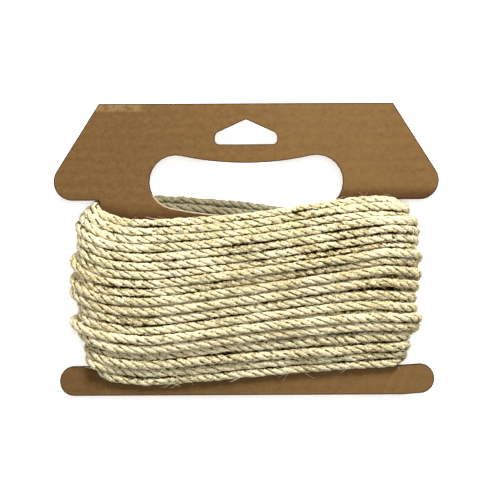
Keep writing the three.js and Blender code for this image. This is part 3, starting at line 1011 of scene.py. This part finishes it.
def laid_rope(at, places, full):
    """Offsets of each ring's points outward and sideways from the line, and the crest height of each point"""
    settings = bpy.context.scene.rope_settings
    angles, radii, crest = rope_section(places, settings)
    random = np.random.default_rng(ROPE_SEED)
    loose = sum(uneven(random, at, *knots) for knots in UNEVEN_LAY)
    turn = math.tau * at / settings.lay + loose
    swell = 1 + np.stack([uneven(random, at, *UNEVEN_STRAND) for _ in range(STRANDS)], 1)
    radius = radii[None] * np.repeat(swell, len(places), axis=1)
    radius = radius + random.normal(scale=LUMPS * MM, size=radius.shape)
    angle = angles[None] + turn[:, None]
    u = radius * np.cos(angle) * (1 + DEPTH_FULLNESS * (full - 1))
    v = radius * np.sin(angle) * full
    return u, v, np.broadcast_to(crest, u.shape)


def open_air(height, depth, line, winding, radius):
    """How free a point beside the line is: 0 where it touches another turn, 1 well clear of all of them"""
    own = (line["sample"] // SAMPLES).astype(int)
    within = line["sample"] % SAMPLES
    full = along_line(line, winding["fullness"])[:, None]
    lower = within.astype(int)
    share = within - lower
    heights, depths = (np.concatenate([part, np.roll(part[:, :1], -1, axis=0)], 1)
                       for part in (winding["height"], winding["depth"]))
    free = np.empty(height.shape)
    for first in range(0, len(own), POINTS_AT_A_TIME):
        part = slice(first, first + POINTS_AT_A_TIME)
        at, mix = lower[part], share[part]
        others_height = heights[:, at] * (1 - mix) + heights[:, at + 1] * mix
        others_depth = depths[:, at] * (1 - mix) + depths[:, at + 1] * mix
        others_height[own[part], np.arange(len(at))] = FAR_AWAY
        distance = np.hypot(height[part, :, None] - others_height.T[:, None],
                            depth[part, :, None] - others_depth.T[:, None])
        free[part] = distance.min(-1)
    return smooth_step((free / full - radius - TOUCHING) / (CLEAR - TOUCHING))


def daylight_on(place):
    """Painted shade: 1 on the turns that face the light, less on the passes that show through the hand hole
    from behind
    """
    is_behind = place[:, 2] < CARD_MIDDLE_Z * MM
    is_high = place[:, 1] > HAND_HOLE_LOW * MM
    return np.where(is_behind & is_high, BEHIND_DAYLIGHT, 1.0)


def rope_mesh(name, line, places, winding):
    """A closed mesh of the laid rope along the line, with what its material needs as attributes"""
    radius = bpy.context.scene.rope_settings.diameter / 2 / MM
    place = line["place"]
    outward, sideways, _ = across_line(line)
    full = along_line(line, winding["fullness"])[:, None]
    u, v, crest = laid_rope(line["length"], places, full)
    points = place[:, None] + u[..., None] * outward[:, None] + v[..., None] * sideways[:, None]
    rings, count = u.shape
    last = (rings - 1) * count
    faces = tube_quads(rings, count).tolist()
    faces.append(list(range(count))[::-1])
    faces.append([last + index for index in range(count)])
    mesh = bpy.data.meshes.new(name)
    mesh.from_pydata(points.reshape(-1, 3).tolist(), [], faces)
    mesh.polygons.foreach_set("use_smooth", [True] * len(mesh.polygons))
    depth = along_line(line, winding["depth"])[:, None] + u / MM
    free = open_air(points[..., 1] / MM, depth, line, winding, radius)
    daylight = np.broadcast_to(daylight_on(place)[:, None], u.shape)
    store(mesh, "rope_place", u, v, np.broadcast_to(line["length"][:, None], u.shape))
    # Masks of the painted shade, for the material
    store(mesh, "rope_painted_shade", crest, free, daylight)
    mesh.update()
    return add_piece(name, mesh)


class ROPE_OT_board(bpy.types.Operator):
    """Two liners and the fluting between them, in the outline of the card"""

    bl_idname = "rope.board"
    bl_label = "Corrugated card"

    def execute(self, context):
        settings = context.scene.board_settings
        front, back = kraft_material("kraft_front", is_front=True), kraft_material("kraft_back")
        liners = (
            ("liner_front", CARD_HIGH.z, 1, front),
            ("liner_back", CARD_LOW.z, -1, back),
        )
        for name, face_z, side, kraft in liners:
            piece = card_prism(name)
            activate(piece)
            bpy.ops.object.mode_set(mode="EDIT")
            bpy.ops.mesh.select_all(action="SELECT")
            bpy.ops.mesh.bisect(plane_co=(0, 0, face_z - side * settings.liner), plane_no=(0, 0, side),
                                use_fill=True, clear_inner=True)
            self.press_rim(piece, face_z, side, settings)
            finish_piece(piece, kraft, "kraft_card", "card")
        fluting = self.fluting(settings)
        finish_piece(fluting, kraft_material("kraft_fluting", is_fluting=True), "kraft_card")
        return {"FINISHED"}

    def press_rim(self, piece, face_z, side, settings):
        """The outer face gets a rim along every edge, which slopes down to the cut"""
        mesh = bmesh.from_edit_mesh(piece.data)
        for face in mesh.faces:
            face.select = abs(face.calc_center_median().z - face_z) < CLOSE
        bmesh.update_edit_mesh(piece.data)
        bpy.ops.mesh.inset(thickness=settings.rim_width)
        mesh = bmesh.from_edit_mesh(piece.data)
        rim = mesh.verts.layers.float.new("rim")
        inner = {vertex for face in mesh.faces if face.select for vertex in face.verts}
        for vertex in mesh.verts:
            if vertex not in inner:
                vertex[rim] = 1.0
                if abs(vertex.co.z - face_z) < CLOSE:
                    vertex.co.z -= side * settings.rim_drop
        bmesh.update_edit_mesh(piece.data)
        bpy.ops.object.mode_set(mode="OBJECT")

    def fluting(self, settings):
        """A wavy sheet between the liners, its waves along the card, trimmed to the outline"""
        rows = int(CARD_HEIGHT / settings.flute * STEPS_A_FLUTE)
        deselect_all()
        bpy.ops.mesh.primitive_grid_add(x_subdivisions=1, y_subdivisions=rows, size=1)
        piece = bpy.context.object
        piece.name = piece.data.name = "fluting"
        height = (BOARD * MM - 2 * settings.liner - settings.medium) / 2
        middle = CARD_MIDDLE_Z * MM
        for vertex in piece.data.vertices:
            x = vertex.co.x * CARD_LENGTH * BEFORE_TRIMMING
            y = vertex.co.y * CARD_HEIGHT * BEFORE_TRIMMING
            vertex.co = Vector((x, y, middle + height * math.sin(math.tau * y / settings.flute)))
        apply_modifier(piece, "SOLIDIFY", thickness=settings.medium, offset=0)
        outline = card_prism("outline")
        apply_modifier(piece, "BOOLEAN", operation="INTERSECT", object=outline, solver="EXACT")
        bpy.data.objects.remove(outline)
        return piece


class ROPE_OT_rope(bpy.types.Operator):
    """The rope in its three layers, as one middle line with a laid section along it"""

    bl_idname = "rope.rope"
    bl_label = "Wound rope"

    def execute(self, context):
        settings = context.scene.rope_settings
        winding = settled_winding(round(settings.diameter / MM, 6))
        line = even_line(winding["middle"] * MM, winding["outward"], FINE_STEP)
        start = int(np.searchsorted(line["sample"], winding["first_outer"] - SAMPLES // 2))
        inner = stretch_of(line, slice(0, start + 1, round(PLAIN_STEP / FINE_STEP)))
        pieces = [rope_mesh("rope_inner", inner, PLAIN_PLACES, winding)]
        cuts = np.linspace(start, len(line["place"]) - 1, OUTER_PIECES + 1).astype(int)
        for number, (low, high) in enumerate(zip(cuts[:-1], cuts[1:], strict=True), 1):
            outer = stretch_of(line, slice(low, high + 1))
            pieces.append(rope_mesh(f"rope_outer_{number}", outer, FINE_PLACES, winding))
        sisal = sisal_material()
        for piece in pieces:
            finish_piece(piece, sisal, "sisal", "rope_winding")
        print("rope length, m:", round(float(line["length"][-1]), 2))
        return {"FINISHED"}


class ROPE_OT_fibres(bpy.types.Operator):
    """Loose fibres that stand out of the rope or lie along it"""

    bl_idname = "rope.fibres"
    bl_label = "Loose fibres"

    def execute(self, context):
        settings = context.scene.rope_settings
        winding = settled_winding(round(settings.diameter / MM, 6))
        outer = slice(winding["first_outer"], None)
        line = even_line(winding["middle"][outer] * MM, winding["outward"][outer], MM)
        random = np.random.default_rng(FIBRE_SEED)
        tubes = np.concatenate([
            self.tubes(random, kind, count, line, settings.diameter / 2)
            for kind, count in ((HAIRS, settings.hairs), (LYING_FIBRES, settings.flyaways))
        ])
        mesh = bpy.data.meshes.new("loose_fibres")
        mesh.from_pydata(tubes.reshape(-1, 3).tolist(), [], self.triangles(len(tubes)).tolist())
        mesh.update()
        finish_piece(add_piece("loose_fibres", mesh), loose_fibre_material(), "sisal")
        return {"FINISHED"}

    def tubes(self, random, kind, count, line, rope_radius):
        """Points of bent, tapered tubes, each rooted in the rope"""
        normal, side, forward = across_line(line)
        at = random.integers(2, len(forward) - 2, count)
        angle = random.normal(scale=FIBRE_AROUND, size=count)
        length = (random.uniform(*kind["length"], count) * MM)[:, None, None]
        lift = random.uniform(*kind["lift"], count)[:, None, None]
        way = np.where(random.random(count) < 0.5, 1, -1)
        outward = np.cos(angle)[:, None] * normal[at] + np.sin(angle)[:, None] * side[at]
        sideways = np.cross(forward[at], outward)
        lean = random.normal(scale=FIBRE_LEAN, size=count)
        heading = way[:, None] * forward[at] + lean[:, None] * sideways
        heading /= np.linalg.norm(heading, axis=1, keepdims=True)
        curl = random.normal(scale=kind["curl"], size=count)[:, None, None]
        t = np.linspace(0, 1, FIBRE_STEPS + 1)[None, :, None]
        reach = length * t
        rise = lift * reach + (FIBRE_END_LIFT - lift) * reach * t * FIBRE_BEND
        middle = (
            line["place"][at][:, None]
            + outward[:, None] * (rope_radius * FIBRE_ROOT + rise)
            + heading[:, None] * reach
            + sideways[:, None] * (curl * reach * t)
        )
        thickness = random.uniform(*FIBRE_THICKNESS, count)[:, None, None] * MM * (1 - FIBRE_TAPER * t)
        is_clear = ((middle[..., 2] > FIBRE_FLOOR) & (middle[..., 2] < FIBRE_CEILING)).all(1)
        corners = []
        for corner in range(FIBRE_SIDES):
            bearing = math.tau * corner / FIBRE_SIDES
            across = math.cos(bearing) * outward + math.sin(bearing) * sideways
            corners.append(middle + thickness * across[:, None])
        return np.stack(corners, 2)[is_clear]

    def triangles(self, count):
        """Faces of this many closed tubes"""
        quads = tube_quads(FIBRE_STEPS + 1, FIBRE_SIDES)
        last = FIBRE_STEPS * FIBRE_SIDES
        caps = [[2, 1, 0], [last, last + 1, last + 2]]
        triangles = np.concatenate([quads[:, [0, 1, 2]], quads[:, [0, 2, 3]], caps])
        starts = np.arange(count)[:, None, None] * FIBRE_SIDES * (FIBRE_STEPS + 1)
        return (triangles[None] + starts).reshape(-1, 3)


class ROPE_OT_stage(bpy.types.Operator):
    """Floor, lights and camera"""

    bl_idname = "rope.stage"
    bl_label = "Studio"

    def execute(self, context):
        settings = context.scene.stage_settings
        self.floor(settings)
        self.sky(context.scene, settings)
        self.lamp(context.scene, "key", settings.key_power, **KEY_LAMP)
        self.lamp(context.scene, "top", settings.top_power, **TOP_LAMP)
        self.camera(context.scene, settings)
        context.scene.view_settings.view_transform = "Standard"
        return {"FINISHED"}

    def floor(self, settings):
        deselect_all()
        bpy.ops.mesh.primitive_plane_add(size=settings.floor_size, location=(0, 0, 0))
        floor = bpy.context.object
        floor.name = "floor"
        material, _, shader = new_material("pale_floor")
        shader.inputs["Base Color"].default_value = (*settings.floor_colour, 1)
        shader.inputs["Roughness"].default_value = 0.9
        shader.inputs["Emission Color"].default_value = (1, 1, 1, 1)
        shader.inputs["Emission Strength"].default_value = settings.floor_glow
        floor.data.materials.append(material)

    def sky(self, scene, settings):
        world = bpy.data.worlds.new("even_sky")
        world.use_nodes = True
        background = world.node_tree.nodes["Background"]
        background.inputs["Color"].default_value = (1, 1, 1, 1)
        background.inputs["Strength"].default_value = settings.sky_strength
        scene.world = world

    def lamp(self, scene, name, power, size, place):
        """A round soft light that faces the middle of the card"""
        light = bpy.data.lights.new(name, "AREA")
        light.energy = power
        light.shape = "DISK"
        light.size = size
        lamp = bpy.data.objects.new(name, light)
        lamp.location = place
        lamp.rotation_euler = (-lamp.location).to_track_quat("-Z", "Y").to_euler()
        scene.collection.objects.link(lamp)

    def camera(self, scene, settings):
        data = bpy.data.cameras.new("camera")
        data.sensor_width = SENSOR
        data.lens = SENSOR * settings.distance / settings.view_width
        camera = bpy.data.objects.new("camera", data)
        target = Vector((LOOK_AT[0] * MM, LOOK_AT[1] * MM, CARD_HIGH.z))
        back = Vector((0, math.sin(settings.lean), math.cos(settings.lean)))
        camera.location = target + back * settings.distance
        facing = Matrix.Rotation(-settings.lean, 4, "X") @ Matrix.Rotation(settings.roll, 4, "Z")
        camera.rotation_euler = facing.to_euler()
        scene.collection.objects.link(camera)
        scene.camera = camera


class ROPE_PT_panel(bpy.types.Panel):
    """Lists what the script makes"""

    bl_label = "Rope winder"
    bl_idname = "ROPE_PT_panel"
    bl_space_type = "VIEW_3D"
    bl_region_type = "UI"
    bl_category = "Rope"

    def draw(self, context):
        layout = self.layout
        scene = context.scene
        for group in (scene.board_settings, scene.rope_settings, scene.stage_settings):
            column = layout.column()
            for name in group.__annotations__:
                column.prop(group, name)
        for operator in OPERATORS:
            layout.operator(operator.bl_idname)


OPERATORS = (ROPE_OT_stage, ROPE_OT_board, ROPE_OT_rope, ROPE_OT_fibres)
CLASSES = (RopeSettings, BoardSettings, StageSettings, *OPERATORS, ROPE_PT_panel)


def register():
    for item in CLASSES:
        bpy.utils.register_class(item)
    bpy.types.Scene.rope_settings = bpy.props.PointerProperty(type=RopeSettings)
    bpy.types.Scene.board_settings = bpy.props.PointerProperty(type=BoardSettings)
    bpy.types.Scene.stage_settings = bpy.props.PointerProperty(type=StageSettings)


def unregister():
    for name in ("rope_settings", "board_settings", "stage_settings"):
        delattr(bpy.types.Scene, name)
    for item in reversed(CLASSES):
        bpy.utils.unregister_class(item)


def main():
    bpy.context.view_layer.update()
    register()
    bpy.ops.rope.stage()
    bpy.ops.rope.board()
    bpy.ops.rope.rope()
    bpy.ops.rope.fibres()


if __name__ == "__main__":
    main()
